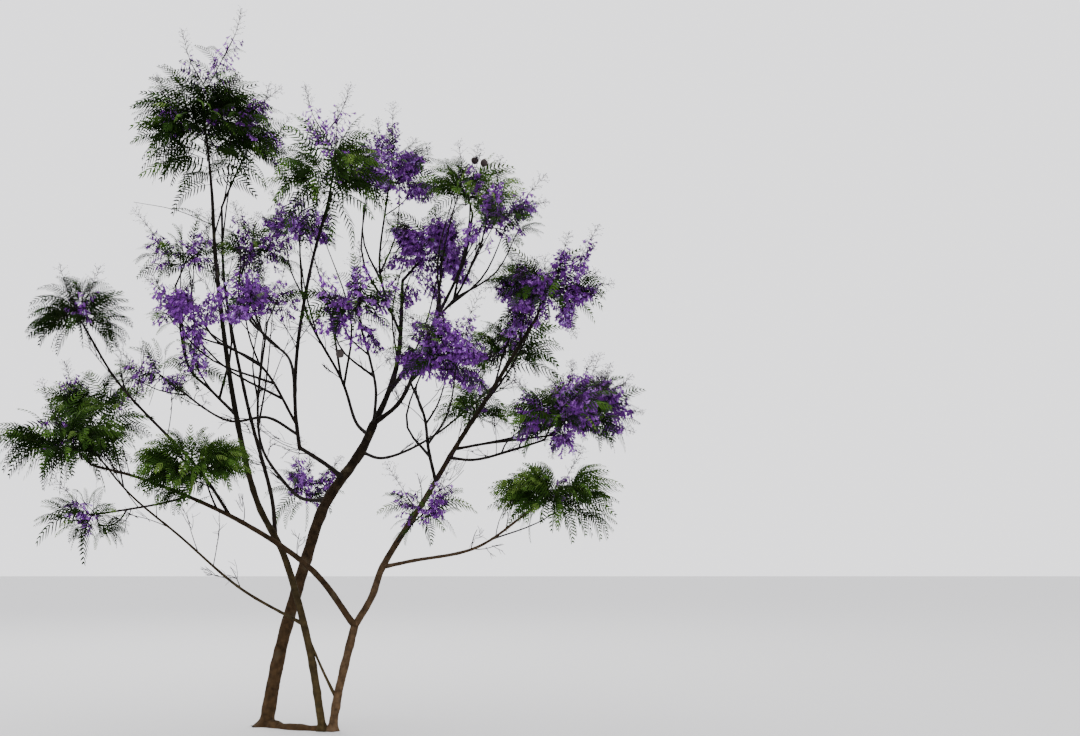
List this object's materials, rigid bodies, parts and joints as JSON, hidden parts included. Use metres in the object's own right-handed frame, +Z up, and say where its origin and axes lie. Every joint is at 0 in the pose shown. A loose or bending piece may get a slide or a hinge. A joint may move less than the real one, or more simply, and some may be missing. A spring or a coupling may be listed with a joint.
{
  "type": "jacaranda tree",
  "caption": "Jacaranda tree in blossom: several crooked stems from one root, wide airy crown of feathery leaves and upright violet panicles, a few flat seed pods.",
  "frame": {"origin": "at ground level between the two inner stems, in the flat cut under the root flare", "axes": "+Z up, -Y towards the viewer of the picture, +X to the right in the picture"},
  "size_m": [5.3021, 4.1191, 5.9755],
  "materials": {
    "bark": "rough grey-brown bark",
    "dark_bark": "darker, finer bark of the upper limbs",
    "leafy_foliage": "matt feathery green leaves with a little violet blossom",
    "blooming_foliage": "matt violet blossom among green leaves"
  },
  "bodies": {
    "root": {"root_flare": "bark", "left_trunk": "bark", "middle_stem": "bark", "right_stem": "bark", "thin_stem": "bark", "back_leader": "dark_bark", "right_bough": "bark", "left_bough": "bark", "left_bough_fork": "dark_bark", "left_rod": "dark_bark", "left_sweep": "bark", "right_low_branch": "bark", "right_far_branch": "dark_bark", "right_back_branch": "dark_bark", "right_front_branch": "dark_bark", "back_right_branch": "dark_bark", "arch": "dark_bark", "arch_leader": "dark_bark", "arch_front_branch": "dark_bark", "arch_back_branch": "dark_bark", "arch_left_branch": "dark_bark", "middle_stem_branch": "dark_bark", "centre_left_branch": "dark_bark", "centre_bough": "dark_bark", "centre_back_branch": "dark_bark", "right_leader": "dark_bark", "right_leader_fork": "dark_bark", "front_branch": "dark_bark", "hooked_limb": "dark_bark", "top_left_foliage": "leafy_foliage", "top_back_foliage": "blooming_foliage", "high_centre_foliage": "leafy_foliage", "high_right_foliage": "blooming_foliage", "pod_foliage": "leafy_foliage", "right_shoulder_foliage": "blooming_foliage", "heart_foliage": "blooming_foliage", "front_foliage": "blooming_foliage", "low_front_foliage": "blooming_foliage", "right_foliage": "blooming_foliage", "right_back_foliage": "leafy_foliage", "back_left_foliage": "blooming_foliage", "back_centre_foliage": "blooming_foliage", "small_left_foliage": "blooming_foliage", "far_back_foliage": "blooming_foliage", "left_high_foliage": "blooming_foliage", "left_hanging_foliage": "blooming_foliage", "far_left_foliage": "leafy_foliage", "left_back_foliage": "leafy_foliage", "left_low_foliage": "leafy_foliage", "left_skirt_foliage": "leafy_foliage", "left_leafy_foliage": "leafy_foliage", "left_tip_foliage": "blooming_foliage", "left_inner_foliage": "leafy_foliage", "far_right_foliage": "blooming_foliage", "far_right_front_foliage": "blooming_foliage", "right_inner_foliage": "leafy_foliage", "low_centre_foliage": "blooming_foliage", "low_right_foliage": "leafy_foliage", "low_back_foliage": "blooming_foliage"}
  },
  "joints": []
}
